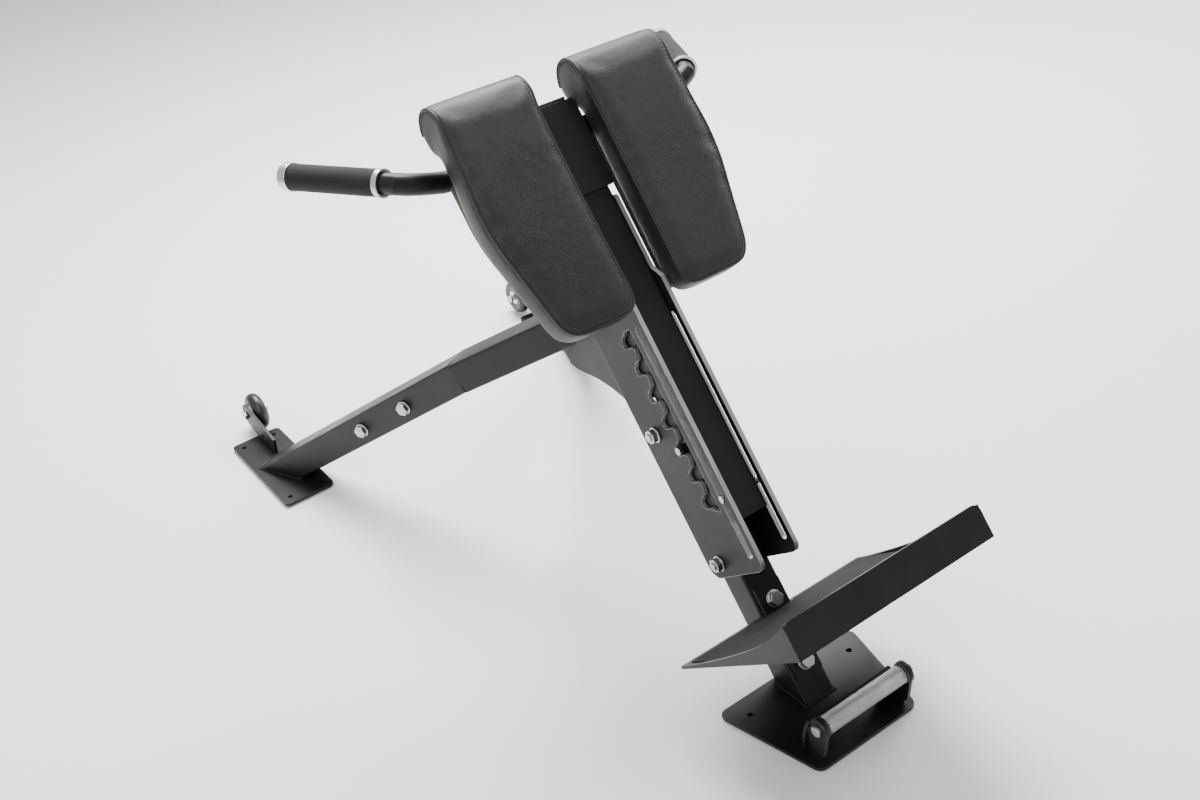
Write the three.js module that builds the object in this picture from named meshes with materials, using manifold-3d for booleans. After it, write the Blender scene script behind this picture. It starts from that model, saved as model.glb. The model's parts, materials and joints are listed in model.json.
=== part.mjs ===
// Roman chair (45 degree back-extension bench): welded spine, two splayed legs, sliding pad carriage.
// Millimetres, +Z up, +X from the foot platform towards the front feet, +Y the user's left.
import * as THREE from 'three';
import { mergeVertices } from 'three/addons/utils/BufferGeometryUtils.js';
import Module from 'manifold-3d';

const wasm = await Module();
wasm.setup();

// Spine
const SPINE_ANGLE = 52 * Math.PI / 180; // rise of the spine above the floor
const SPINE_HEIGHT = 303; // height of the spine frame's origin above the floor
const TUBE = 50; // side of the square tube
const TUBE_WALL = 3;
const PLATE_THICK = 6;
const PLATE_IN = 25.4; // inner face of a side plate from the centre plane
const PLATE_OUT = PLATE_IN + PLATE_THICK;
const PLATE_DEPTH = 133;
const PLATE_LOW = -122; // lower and upper ends of the side plates along the spine
const PLATE_HIGH = 390;
const RELIEF_FROM = 268; // the plates' top edge steps down here to clear the pad mounts
const RELIEF_DROP = 14;
const TUBE_TOP = -73.5; // outward face of the spine tube
// Ladder and guide slots
const PITCH = 38.6;
const NOTCHES = 7;
const FIRST_NOTCH = -20.6;
const PIN_R = 6;
const SEAT_W = -63; // pin centre when it is seated in a notch
const FREE_W = -40; // pin centre when it is in the open channel
const SEATED = 2; // notch that holds the pin, counted from the lowest
const GUIDE_W = -15.5;
const GUIDE_R = 5.2;
const GUIDE_LOW = -104;
const GUIDE_HIGH = 222;
// Legs
const LEG_ROOT = [357, 24, 378];
const LEG_KNEE = [498, 113, 284];
const LEG_FOOT = [872, 301, 8];
const LEG_BOLTS = [130, 245]; // distance of each leg bolt from the knee
const SLEEVE_LENGTH = 290;
// Feet
const FOOT = { x0: 769, x1: 1000, y0: 263, y1: 353 };
const FLOOR_PAD = 3;
const STEEL = 5;
const WHEEL = { x: 1028, y: 283, z: 39, r: 34, width: 24, bore: 4.2 };
// Rear base
const BASE = { front: -68, rear: -226, frontHalf: 120, rearHalf: 84 };
const LIFT = { x: -214, z: 64, half: 66, r: 12.5 };
// Foot platform
const DECK = { u: -187, half: 154, front: -86, rear: 203, thick: 4, wall: 41 };
const MOUNT_BOLTS = [-172, -262];
// Pads
const PAD = { low: 235, high: 576, inner: 32.6, outer: 183, taper: 395, narrow: 147, tip: 174, top: 32, under: -18 };
const ROLL_R = 35;
const GAP = 0.3;

const steelBlack = { color: 0x161617, roughness: 0.5, metalness: 0.3 };
const plateGrey = { color: 0x3a3b3d, roughness: 0.42, metalness: 0.6 };
const zinc = { color: 0xc9cac8, roughness: 0.28, metalness: 0.95 };
const rubber = { color: 0x121212, roughness: 0.85, metalness: 0 };
const leather = { color: 0x232325, roughness: 0.5, metalness: 0 };

const object = new THREE.Group();

// ---- solids ----
function toSolid(geometry, matrix) {
  const bare = geometry.clone();
  for (const key of Object.keys(bare.attributes)) if (key !== 'position') bare.deleteAttribute(key);
  if (matrix) bare.applyMatrix4(matrix);
  const merged = mergeVertices(bare, 1e-4);
  const mesh = new wasm.Mesh({
    numProp: 3,
    vertProperties: new Float32Array(merged.attributes.position.array),
    triVerts: new Uint32Array(merged.index.array),
  });
  mesh.merge();
  return new wasm.Manifold(mesh);
}

function toGeometry(solid) {
  const mesh = solid.getMesh();
  const geometry = new THREE.BufferGeometry();
  geometry.setAttribute('position', new THREE.BufferAttribute(new Float32Array(mesh.vertProperties), 3));
  geometry.setIndex(new THREE.BufferAttribute(new Uint32Array(mesh.triVerts), 1));
  geometry.computeVertexNormals();
  return geometry;
}

const move = (x, y, z) => new THREE.Matrix4().makeTranslation(x, y, z);

// A box between two corners.
function block(x0, x1, y0, y1, z0, z1) {
  const geometry = new THREE.BoxGeometry(x1 - x0, y1 - y0, z1 - z0);
  return toSolid(geometry, move((x0 + x1) / 2, (y0 + y1) / 2, (z0 + z1) / 2));
}

// A cylinder from point a to point b.
function rod(a, b, radius, sides = 20) {
  const from = new THREE.Vector3(...a);
  const to = new THREE.Vector3(...b);
  const along = to.clone().sub(from);
  const turn = new THREE.Quaternion().setFromUnitVectors(new THREE.Vector3(0, 1, 0), along.clone().normalize());
  const centre = from.add(to).multiplyScalar(0.5);
  const matrix = new THREE.Matrix4().compose(centre, turn, new THREE.Vector3(1, 1, 1));
  return toSolid(new THREE.CylinderGeometry(radius, radius, along.length(), sides), matrix);
}

// A flat outline in X and Z, given thickness along Y from y0 to y1.
function slabXZ(shape, y0, y1, curveSegments = 8) {
  const geometry = new THREE.ExtrudeGeometry(shape, { depth: y1 - y0, bevelEnabled: false, curveSegments });
  const matrix = new THREE.Matrix4().makeRotationX(Math.PI / 2);
  return toSolid(geometry, move(0, y1, 0).multiply(matrix));
}

// A flat outline in X and Y, given thickness along Z from z0 to z1.
function slabXY(shape, z0, z1, curveSegments = 8) {
  const geometry = new THREE.ExtrudeGeometry(shape, { depth: z1 - z0, bevelEnabled: false, curveSegments });
  return toSolid(geometry, move(0, 0, z0));
}

// A closed outline with each corner rounded by its own radius: points are [x, y, radius].
function rounded(points) {
  const shape = new THREE.Shape();
  const count = points.length;
  points.forEach(([x, y, radius = 0], index) => {
    const corner = new THREE.Vector2(x, y);
    const before = new THREE.Vector2(...points[(index + count - 1) % count].slice(0, 2)).sub(corner).normalize();
    const after = new THREE.Vector2(...points[(index + 1) % count].slice(0, 2)).sub(corner).normalize();
    const start = corner.clone().addScaledVector(before, radius);
    const end = corner.clone().addScaledVector(after, radius);
    if (index === 0) shape.moveTo(start.x, start.y);
    else shape.lineTo(start.x, start.y);
    if (radius > 0) shape.quadraticCurveTo(x, y, end.x, end.y);
  });
  shape.closePath();
  return shape;
}

function join(...solids) {
  return solids.reduce((sum, solid) => sum.add(solid));
}

function put(group, name, solid, finish) {
  const mesh = new THREE.Mesh(toGeometry(solid), new THREE.MeshStandardMaterial(finish));
  mesh.name = name;
  group.add(mesh);
  return mesh;
}

// A hexagon head or nut, from point a to point b.
function hexagon(a, b, acrossFlats) {
  return rod(a, b, acrossFlats / Math.sqrt(3), 6);
}

// A through bolt along Y with its head, washers and nut as one piece.
function crossBolt(x, z, reach, radius, flats) {
  const washer = flats * 0.62;
  return join(
    rod([x, -reach - 14, z], [x, reach + 13, z], radius),
    rod([x, -reach - 2.2, z], [x, -reach, z], washer),
    rod([x, reach, z], [x, reach + 2.2, z], washer),
    hexagon([x, reach + 2.2, z], [x, reach + 10, z], flats),
    hexagon([x, -reach - 11, z], [x, -reach - 2.2, z], flats),
  );
}

// The spine frame: X runs up the spine, Z points out of its upper face.
const spine = new THREE.Group();
spine.position.set(0, 0, SPINE_HEIGHT);
spine.rotation.y = -SPINE_ANGLE;
object.add(spine);
spine.updateMatrixWorld(true);

// ---- spine ----
function ladderSlot() {
  const shape = new THREE.Shape();
  const outer = FREE_W + PIN_R + 0.8;
  const inner = FREE_W - PIN_R - 0.8;
  const low = FIRST_NOTCH - 9;
  const high = FIRST_NOTCH + (NOTCHES - 1) * PITCH + 14;
  shape.moveTo(high, outer);
  shape.lineTo(high, inner - 8);
  for (let index = NOTCHES - 1; index >= 0; index -= 1) {
    const centre = FIRST_NOTCH + index * PITCH;
    shape.lineTo(centre + 13, inner - 4);
    shape.lineTo(centre + 9, SEAT_W);
    shape.absarc(centre, SEAT_W, PIN_R + 1, 0, -Math.PI, true);
    shape.lineTo(centre - PIN_R - 1, inner - 6);
    shape.lineTo(centre - 11, inner);
  }
  shape.lineTo(low - 6, outer);
  shape.closePath();
  return shape;
}

function guideSlot() {
  const shape = new THREE.Shape();
  shape.absarc(GUIDE_LOW + GUIDE_R + 0.5, GUIDE_W, GUIDE_R + 0.5, Math.PI / 2, 1.5 * Math.PI, false);
  shape.absarc(GUIDE_HIGH - GUIDE_R - 0.5, GUIDE_W, GUIDE_R + 0.5, -Math.PI / 2, Math.PI / 2, false);
  return shape;
}

function sidePlate(side) {
  const outline = rounded([
    [PLATE_LOW, -PLATE_DEPTH + 12, 7], [PLATE_LOW - 1, 0, 15], [RELIEF_FROM, 0, 3],
    [RELIEF_FROM + 17, -RELIEF_DROP, 3], [PLATE_HIGH, -RELIEF_DROP, 8], [PLATE_HIGH, -78, 10],
    [338, -PLATE_DEPTH, 20], [PLATE_LOW + 12, -PLATE_DEPTH, 7],
  ]);
  const inner = side > 0 ? PLATE_IN : -PLATE_OUT;
  let plate = slabXZ(outline, inner, inner + PLATE_THICK);
  plate = plate.subtract(slabXZ(ladderSlot(), inner - 1, inner + PLATE_THICK + 1, 6));
  plate = plate.subtract(slabXZ(guideSlot(), inner - 1, inner + PLATE_THICK + 1, 6));
  for (const u of [88, -101]) plate = plate.subtract(rod([u, inner - 1, -98.5], [u, inner + 7, -98.5], 6.3));
  return plate;
}

function squareTube(x0, x1, z0, z1, half) {
  const outer = rounded([[-half, z0, 5], [half, z0, 5], [half, z1, 5], [-half, z1, 5]]);
  const w = TUBE_WALL;
  const inner = rounded([
    [-half + w, z0 + w, 3], [half - w, z0 + w, 3], [half - w, z1 - w, 3], [-half + w, z1 - w, 3],
  ]);
  outer.holes.push(inner);
  const geometry = new THREE.ExtrudeGeometry(outer, { depth: x1 - x0, bevelEnabled: false, curveSegments: 3 });
  const basis = new THREE.Matrix4().makeBasis(
    new THREE.Vector3(0, 1, 0), new THREE.Vector3(0, 0, 1), new THREE.Vector3(1, 0, 0),
  );
  return toSolid(geometry, move(x0, 0, 0).multiply(basis));
}

// Keeps only the part of a spine-frame solid above a height over the floor.
function aboveFloor(solid, height) {
  const toWorld = spine.matrixWorld;
  const cutter = block(-4000, 4000, -2000, 2000, -4000, height);
  return solid.subtract(cutter.transform(toWorld.clone().invert().elements));
}

const BOLT_W = -98.5;
put(spine, 'side_plate_left', sidePlate(1), plateGrey);
put(spine, 'side_plate_right', sidePlate(-1), plateGrey);
let spineTube = aboveFloor(squareTube(-420, 115, TUBE_TOP - TUBE, TUBE_TOP, TUBE / 2), FLOOR_PAD + STEEL + GAP);
for (const u of [88, -101]) spineTube = spineTube.subtract(rod([u, -40, BOLT_W], [u, 40, BOLT_W], 6.3));
for (const u of MOUNT_BOLTS) {
  spineTube = spineTube.subtract(rod([u, 0, TUBE_TOP - 12], [u, 0, TUBE_TOP + 5], 6.3));
}
put(spine, 'spine_tube', spineTube, steelBlack);
put(spine, 'frame_bolt_upper', crossBolt(88, BOLT_W, PLATE_OUT + GAP, 6, 18), zinc);
put(spine, 'frame_bolt_lower', crossBolt(-101, BOLT_W, PLATE_OUT + GAP, 6, 18), zinc);

// ---- neck and legs ----
function neck() {
  const web = new THREE.Shape();
  web.moveTo(132, -PLATE_DEPTH - GAP);
  web.quadraticCurveTo(178, -165, 205, -218);
  web.quadraticCurveTo(212, -232, 226, -246);
  web.lineTo(335, -246);
  web.lineTo(335, -PLATE_DEPTH - GAP);
  web.closePath();
  const box = slabXZ(web, -25, 25, 10);
  const hollow = new THREE.Shape();
  hollow.moveTo(228, -140);
  hollow.lineTo(228, -240);
  hollow.lineTo(329, -240);
  hollow.lineTo(329, -140);
  hollow.closePath();
  return box.subtract(slabXZ(hollow, -22, 22)).subtract(block(250, 305, -9, 9, -260, -235))
    .add(block(235, 325, -24.9, 24.9, -150, -80));
}
put(spine, 'neck', neck(), steelBlack);

// Axes of a straight leg length: along it, level across it, and square to both.
function legBasis(a, b) {
  const along = new THREE.Vector3(...b).sub(new THREE.Vector3(...a)).normalize();
  const across = new THREE.Vector3(0, 0, 1).cross(along).normalize();
  const upward = along.clone().cross(across);
  return { along, across, upward };
}

// A square bar or tube from point a to point b, longer by the two given lengths.
function legBar(a, b, before, after, half, wall) {
  const { along, across, upward } = legBasis(a, b);
  const length = new THREE.Vector3(...b).distanceTo(new THREE.Vector3(...a)) + before + after;
  const shape = rounded([[-half, -half, 4], [half, -half, 4], [half, half, 4], [-half, half, 4]]);
  if (wall) {
    const inside = half - wall;
    shape.holes.push(rounded([[-inside, -inside, 2], [inside, -inside, 2], [inside, inside, 2], [-inside, inside, 2]]));
  }
  const geometry = new THREE.ExtrudeGeometry(shape, { depth: length, bevelEnabled: false, curveSegments: 3 });
  const start = new THREE.Vector3(...a).addScaledVector(along, -before);
  const matrix = new THREE.Matrix4().makeBasis(across, upward, along).setPosition(start);
  return toSolid(geometry, matrix);
}

// A large half space on the far side of a plane through a point.
function halfSpace(point, normal) {
  const turn = new THREE.Quaternion().setFromUnitVectors(new THREE.Vector3(0, 0, 1), normal.clone().normalize());
  const matrix = new THREE.Matrix4().compose(point, turn, new THREE.Vector3(1, 1, 1)).multiply(move(0, 0, 500));
  return toSolid(new THREE.BoxGeometry(1000, 1000, 1000), matrix);
}

function mirrored(point, side) {
  return [point[0], point[1] * side, point[2]];
}

function legParts(side) {
  const root = mirrored(LEG_ROOT, side);
  const knee = mirrored(LEG_KNEE, side);
  const foot = mirrored(LEG_FOOT, side);
  const upper = legBasis(root, knee);
  const lower = legBasis(knee, foot);
  const mitre = upper.along.clone().add(lower.along).normalize();
  const kneePoint = new THREE.Vector3(...knee);
  const boltLine = (distance, reach) => {
    const centre = kneePoint.clone().addScaledVector(lower.along, distance);
    const out = lower.across.clone().multiplyScalar(side);
    return reach.map((r) => centre.clone().addScaledVector(out, r).toArray());
  };
  const neckSide = block(-500, 900, side > 0 ? -200 : -25.3, side > 0 ? 25.3 : 200, -100, 900);
  let stub = legBar(root, knee, 40, 40, TUBE / 2, TUBE_WALL);
  stub = stub.subtract(halfSpace(kneePoint, mitre)).subtract(neckSide);
  const shellEnd = kneePoint.clone().addScaledVector(mitre, GAP);
  let leg = legBar(knee, foot, 40, 60, TUBE / 2, TUBE_WALL);
  leg = leg.subtract(halfSpace(shellEnd, mitre.clone().negate()));
  leg = leg.subtract(block(-500, 1500, -900, 900, -300, FLOOR_PAD + STEEL + GAP));
  const sleeveStart = kneePoint.clone().addScaledVector(lower.along, 26).toArray();
  const sleeveEnd = kneePoint.clone().addScaledVector(lower.along, SLEEVE_LENGTH).toArray();
  let sleeve = legBar(sleeveStart, sleeveEnd, 0, 0, TUBE / 2 - TUBE_WALL - 0.4, 4);
  for (const distance of LEG_BOLTS) {
    const hole = rod(...boltLine(distance, [-40, 40]), 6.3, 16);
    leg = leg.subtract(hole);
    sleeve = sleeve.subtract(hole);
  }
  const out = lower.across.clone().multiplyScalar(side);
  const bolts = LEG_BOLTS.map((distance) => {
    const place = new THREE.Matrix4().makeBasis(lower.along.clone().multiplyScalar(side), out, lower.upward);
    place.setPosition(kneePoint.clone().addScaledVector(lower.along, distance));
    return join(
      rod([0, -39, 0], [0, 36, 0], 5.8, 16), rod([0, 25.3, 0], [0, 27.8, 0], 11.5),
      hexagon([0, 27.8, 0], [0, 35, 0], 18), rod([0, -27.8, 0], [0, -25.3, 0], 11.5),
      hexagon([0, -37, 0], [0, -27.8, 0], 18),
    ).transform(place.elements);
  });
  return { stub, leg, sleeve, bolts };
}

function footPlate(side) {
  const { x0, x1, y0, y1 } = FOOT;
  const y = (value) => value * side;
  const outline = rounded([[x0, y(y0), 9], [x1, y(y0), 9], [x1, y(y1), 9], [x0, y(y1), 9]]);
  let plate = slabXY(outline, FLOOR_PAD, FLOOR_PAD + STEEL);
  for (const x of [x0 + 18, x1 - 18]) {
    for (const inset of [16, 74]) {
      plate = plate.subtract(rod([x, y(y0 + inset), -1], [x, y(y0 + inset), 20], 4.2, 16));
    }
  }
  return plate;
}

function footPad(side) {
  const { x0, x1, y0, y1 } = FOOT;
  const y = (value) => value * side;
  const outline = rounded([
    [x0 + 4, y(y0 + 24), 7], [x1 - 4, y(y0 + 24), 7], [x1 - 4, y(y1 - 24), 7], [x0 + 4, y(y1 - 24), 7],
  ]);
  return slabXY(outline, 0, FLOOR_PAD - GAP);
}

function wheelArm(side) {
  const { x, y, z } = WHEEL;
  const outline = new THREE.Shape();
  const base = FLOOR_PAD + STEEL + GAP;
  outline.moveTo(923, base);
  outline.lineTo(FOOT.x1 - 2, base);
  outline.lineTo(x + 10, z - 19);
  outline.absarc(x, z, 20, -1, Math.PI / 2 - 0.1, false);
  outline.lineTo(916, 40);
  outline.closePath();
  const inner = y + WHEEL.width / 2 + 2.5;
  const near = side > 0 ? inner : -inner - STEEL;
  let arm = slabXZ(outline, near, near + STEEL);
  arm = arm.subtract(rod([x, near - 1, z], [x, near + STEEL + 1, z], 4.3, 16));
  for (const hole of [938, 966]) arm = arm.subtract(rod([hole, near - 1, 24], [hole, near + 7, 24], 5, 12));
  return arm;
}

function wheelSolids(side) {
  const { x, y, z, r, width, bore } = WHEEL;
  const half = width / 2;
  const profile = [
    [14.3, -half + 1], [r - 9, -half], [r - 3, -half + 3.5], [r, -half + 9], [r, half - 9],
    [r - 3, half - 3.5], [r - 9, half], [14.3, half - 1], [14.3, -half + 1],
  ].map(([a, b]) => new THREE.Vector2(a, b));
  const tyre = toSolid(new THREE.LatheGeometry(profile, 36), move(x, y * side, z));
  const ring = rod([x, y * side - half + 2, z], [x, y * side + half - 2, z], 14)
    .subtract(rod([x, y * side - half, z], [x, y * side + half, z], bore, 20));
  const out = (value) => (y + value) * side;
  const bolt = join(
    rod([x, out(-20), z], [x, out(24), z], 4, 16),
    hexagon([x, out(-19), z], [x, out(-13.2), z], 13),
    hexagon([x, out(19.9), z], [x, out(25.5), z], 13),
  );
  return { tyre, ring, bolt };
}

for (const [side, word] of [[1, 'left'], [-1, 'right']]) {
  const { stub, leg, sleeve, bolts } = legParts(side);
  put(object, `leg_stub_${word}`, stub, steelBlack);
  put(object, `leg_${word}`, leg, steelBlack);
  put(object, `leg_sleeve_${word}`, sleeve, steelBlack);
  bolts.forEach((bolt, index) => put(object, `leg_bolt_${word}_${index + 1}`, bolt, zinc));
  put(object, `foot_plate_${word}`, footPlate(side), steelBlack);
  put(object, `foot_pad_${word}`, footPad(side), rubber);
  put(object, `wheel_arm_${word}`, wheelArm(side), steelBlack);
  const wheel = wheelSolids(side);
  put(object, `wheel_${word}`, wheel.tyre, rubber);
  put(object, `wheel_bearing_${word}`, wheel.ring, zinc);
  put(object, `wheel_bolt_${word}`, wheel.bolt, zinc);
}

// ---- rear base ----
function basePlate() {
  const { front, rear, frontHalf, rearHalf } = BASE;
  const outline = rounded([
    [front, frontHalf, 16], [front, -frontHalf, 16], [rear, -rearHalf, 12], [rear, rearHalf, 12],
  ]);
  let plate = slabXY(outline, FLOOR_PAD, FLOOR_PAD + STEEL);
  for (const [x, y] of [[-98, 88], [-98, -88], [-168, 66], [-168, -66]]) {
    plate = plate.subtract(rod([x, y, -1], [x, y, 20], 4.2, 16));
  }
  return plate;
}

function liftBracket() {
  const web = new THREE.Shape();
  const floor = FLOOR_PAD + STEEL + GAP;
  web.moveTo(-78, floor);
  web.lineTo(-52, floor);
  web.quadraticCurveTo(-40, 38, -14, 40);
  web.lineTo(14, 40);
  web.quadraticCurveTo(40, 38, 52, floor);
  web.lineTo(78, floor);
  web.quadraticCurveTo(84, 44, 70, 58);
  web.quadraticCurveTo(0, 52, -70, 58);
  web.quadraticCurveTo(-84, 44, -78, floor);
  const turn = new THREE.Matrix4().makeBasis(
    new THREE.Vector3(0, 1, 0), new THREE.Vector3(0, 0, 1), new THREE.Vector3(1, 0, 0),
  );
  const geometry = new THREE.ExtrudeGeometry(web, { depth: 5, bevelEnabled: false, curveSegments: 8 });
  let bracket = toSolid(geometry, move(LIFT.x + 21, 0, 0).multiply(turn));
  for (const side of [1, -1]) {
    const y0 = side > 0 ? LIFT.half + 4 : -LIFT.half - 9;
    const ear = new THREE.Shape();
    ear.absarc(LIFT.x, LIFT.z, 15, -0.35, Math.PI + 0.6, false);
    ear.lineTo(LIFT.x - 8, floor + 14);
    ear.lineTo(LIFT.x + 2, floor);
    ear.lineTo(LIFT.x + 26, floor);
    ear.lineTo(LIFT.x + 26, 46);
    ear.closePath();
    bracket = bracket.add(slabXZ(ear, y0, y0 + 5));
    bracket = bracket.subtract(rod([LIFT.x, y0 - 2, LIFT.z], [LIFT.x, y0 + 8, LIFT.z], 4.4, 16));
  }
  return bracket;
}

put(object, 'base_plate', basePlate(), steelBlack);
for (const [side, word] of [[1, 'left'], [-1, 'right']]) {
  const strip = rounded([
    [-92, 111 * side, 4], [-210, 83 * side, 4], [-210, 45 * side, 4], [-92, 73 * side, 4],
  ]);
  put(object, `base_foot_${word}`, slabXY(strip, 0, FLOOR_PAD - GAP), rubber);
}
put(object, 'lift_bracket', liftBracket(), steelBlack);
const sleeveRod = rod([LIFT.x, -LIFT.half, LIFT.z], [LIFT.x, LIFT.half, LIFT.z], LIFT.r, 28)
  .subtract(rod([LIFT.x, -LIFT.half - 1, LIFT.z], [LIFT.x, LIFT.half + 1, LIFT.z], 4.4, 16));
put(object, 'lift_grip', sleeveRod, zinc);
for (const [side, word] of [[1, 'left'], [-1, 'right']]) {
  const a = [LIFT.x, side * (LIFT.half + GAP), LIFT.z];
  const b = [LIFT.x, side * (LIFT.half + 3.7), LIFT.z];
  const washer = rod(a, b, LIFT.r + 1.5).subtract(
    rod([LIFT.x, side * (LIFT.half - 1), LIFT.z], [LIFT.x, side * (LIFT.half + 6), LIFT.z], 4.4, 16),
  );
  put(object, `lift_washer_${word}`, washer, rubber);
}
put(object, 'lift_bolt', join(
  rod([LIFT.x, -LIFT.half - 17, LIFT.z], [LIFT.x, LIFT.half + 15, LIFT.z], 4.1, 16),
  hexagon([LIFT.x, LIFT.half + 9.3, LIFT.z], [LIFT.x, LIFT.half + 15.5, LIFT.z], 13),
  hexagon([LIFT.x, -LIFT.half - 16, LIFT.z], [LIFT.x, -LIFT.half - 9.3, LIFT.z], 13),
), zinc);

// ---- foot platform ----
function deck() {
  const { u, half, front, rear, thick, wall } = DECK;
  let tray = block(u - thick, u, -half, half, front, rear);
  tray = tray.subtract(block(u - 20, u + 20, -25.5, 25.5, front - 5, TUBE_TOP + GAP));
  const heel = rounded([[u - thick, -half, 1], [u + wall, -half, 12], [u + wall, half, 12], [u - thick, half, 1]]);
  const back = slabXY(heel, rear - thick, rear);
  const cheek = new THREE.Shape();
  cheek.moveTo(u - 1, front + 4);
  cheek.quadraticCurveTo(u + 6, 70, u + 20, 140);
  cheek.quadraticCurveTo(u + 30, 180, u + wall - 2, rear - 1);
  cheek.lineTo(u - 1, rear - 1);
  cheek.closePath();
  tray = tray.add(back);
  for (const y0 of [-half, half - thick]) tray = tray.add(slabXZ(cheek, y0, y0 + thick));
  const holder = block(-280, -149, -21, 21, TUBE_TOP + GAP, TUBE_TOP + GAP + 5);
  const rib = rounded([[u - 2, TUBE_TOP + 4, 0], [u - 2, 40, 0], [-262, TUBE_TOP + 4, 0]]);
  tray = tray.add(holder);
  for (const y0 of [-20, 15]) tray = tray.add(slabXZ(rib, y0, y0 + 5));
  for (const bolt of MOUNT_BOLTS) {
    tray = tray.subtract(rod([bolt, 0, TUBE_TOP - 5], [bolt, 0, TUBE_TOP + 12], 6.3, 16));
  }
  return tray;
}
put(spine, 'foot_platform', deck(), steelBlack);
const treadOutline = rounded([
  [DECK.front + 15, -DECK.half + 8, 3], [DECK.rear - 8, -DECK.half + 8, 3],
  [DECK.rear - 8, DECK.half - 8, 3], [DECK.front + 15, DECK.half - 8, 3],
]);
const treadGeometry = new THREE.ExtrudeGeometry(treadOutline, { depth: 1.2, bevelEnabled: false, curveSegments: 3 });
const treadTurn = new THREE.Matrix4().makeBasis(
  new THREE.Vector3(0, 0, 1), new THREE.Vector3(0, 1, 0), new THREE.Vector3(-1, 0, 0),
);
const tread = toSolid(treadGeometry, move(DECK.u + GAP + 1.2, 0, 0).multiply(treadTurn))
  .subtract(block(DECK.u - 5, DECK.u + 5, -27, 27, -90, TUBE_TOP + 8));
put(spine, 'tread_sheet', tread, rubber);
MOUNT_BOLTS.forEach((u, index) => {
  const face = TUBE_TOP + GAP + 5 + GAP;
  put(spine, `platform_bolt_${index + 1}`, join(
    rod([u, 0, TUBE_TOP - 30], [u, 0, face + 9], 6, 16),
    rod([u, 0, face], [u, 0, face + 2.4], 12),
    hexagon([u, 0, face + 2.4], [u, 0, face + 10], 18),
  ), zinc);
});

// ---- pad carriage ----
const CARRIAGE_LOW = -54;
const CARRIAGE_HIGH = 526;
function carriageTube() {
  let tube = squareTube(CARRIAGE_LOW, CARRIAGE_HIGH, -71.3, -11.3, 24.5);
  const slot = new THREE.Shape();
  const pinU = FIRST_NOTCH + SEATED * PITCH;
  slot.absarc(pinU, FREE_W, PIN_R + 0.5, 0, Math.PI, false);
  slot.lineTo(pinU - PIN_R - 0.5, SEAT_W);
  slot.absarc(pinU, SEAT_W, PIN_R + 0.5, Math.PI, 2 * Math.PI, false);
  slot.closePath();
  tube = tube.subtract(slabXZ(slot, -40, 40, 6));
  tube = tube.subtract(rod([-20, -40, GUIDE_W - 4], [-20, 40, GUIDE_W - 4], GUIDE_R + 0.3, 20));
  return tube.subtract(rod([489, -40, -49], [489, 40, -49], 14.4, 28));
}
put(spine, 'carriage_tube', carriageTube(), steelBlack);
put(spine, 'guide_pin', join(
  rod([-20, -25.2, GUIDE_W - 4], [-20, 25.2, GUIDE_W - 4], GUIDE_R, 20),
  rod([-20, -32.8, GUIDE_W], [-20, -24.9, GUIDE_W], GUIDE_R - 0.2, 20),
  rod([-20, 24.9, GUIDE_W], [-20, 32.8, GUIDE_W], GUIDE_R - 0.2, 20),
), zinc);
const latchU = FIRST_NOTCH + SEATED * PITCH;
put(spine, 'latch_pin', rod([latchU, -32.8, SEAT_W], [latchU, 32.8, SEAT_W], PIN_R - 0.3, 24), zinc);
put(spine, 'cap_plate', slabXY(rounded([[402, -32, 6], [524, -32, 6], [524, 32, 6], [402, 32, 6]]), -11, -6), steelBlack);
put(spine, 'tube_plug', block(CARRIAGE_HIGH + GAP, CARRIAGE_HIGH + 4, -24, 24, -70.8, -11.8), rubber);

function padOutline(side, inset) {
  const { low, high, inner, outer, taper, narrow, tip } = PAD;
  const y = (value) => value * side;
  return rounded([
    [low + inset, y(inner + inset), 20], [low + inset, y(narrow - inset), 24],
    [taper, y(outer - inset), 36], [high - inset, y(tip - inset), 10], [high - inset, y(inner + inset), 10],
  ]);
}

// The cushion: a slab with a rolled upper end, its long edges pulled in by a stepped bevel.
function cushion(side) {
  const bevel = { bevelEnabled: true, bevelThickness: 9, bevelSize: 8, bevelSegments: 3, curveSegments: 6 };
  const { top, under, high } = PAD;
  const geometry = new THREE.ExtrudeGeometry(padOutline(side, 8), { depth: top - under - 18, ...bevel });
  const slab = toSolid(geometry, move(0, 0, under + 9));
  const y0 = Math.min(PAD.inner * side, PAD.tip * side);
  const roll = rod([high - ROLL_R, y0, top - ROLL_R], [high - ROLL_R, y0 + PAD.tip - PAD.inner, top - ROLL_R], ROLL_R, 32);
  const trim = block(high - ROLL_R, high + 30, -200, 200, -80, 80);
  return slab.subtract(trim).add(roll);
}

function padBoard(side) {
  const y = (value) => value * side;
  const outline = rounded([
    [PAD.low + 14, y(PAD.inner + 8), 14], [PAD.low + 14, y(PAD.narrow - 12), 20],
    [PAD.taper, y(PAD.outer - 12), 30], [477, y(PAD.outer - 12), 8], [477, y(PAD.inner + 8), 8],
  ]);
  return slabXY(outline, PAD.under - GAP - 9, PAD.under - GAP);
}

function padBracket(side) {
  const y = (value) => value * side;
  const top = PAD.under - GAP - 9 - GAP;
  const shelf = rounded([
    [272, y(48), 6], [272, y(88), 6], [400, y(120), 6], [474, y(120), 6], [474, y(48), 6],
  ]);
  const arm = block(472, 502, Math.min(y(24.8), y(120)), Math.max(y(24.8), y(120)), top - 5, top);
  const cut = rod([489, -130, -49], [489, 130, -49], 14.4, 28);
  return slabXY(shelf, top - 5, top).add(arm).add(
    block(488, 510, Math.min(y(24.8), y(30)), Math.max(y(24.8), y(30)), -68, top - 2),
  ).subtract(cut);
}

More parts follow.
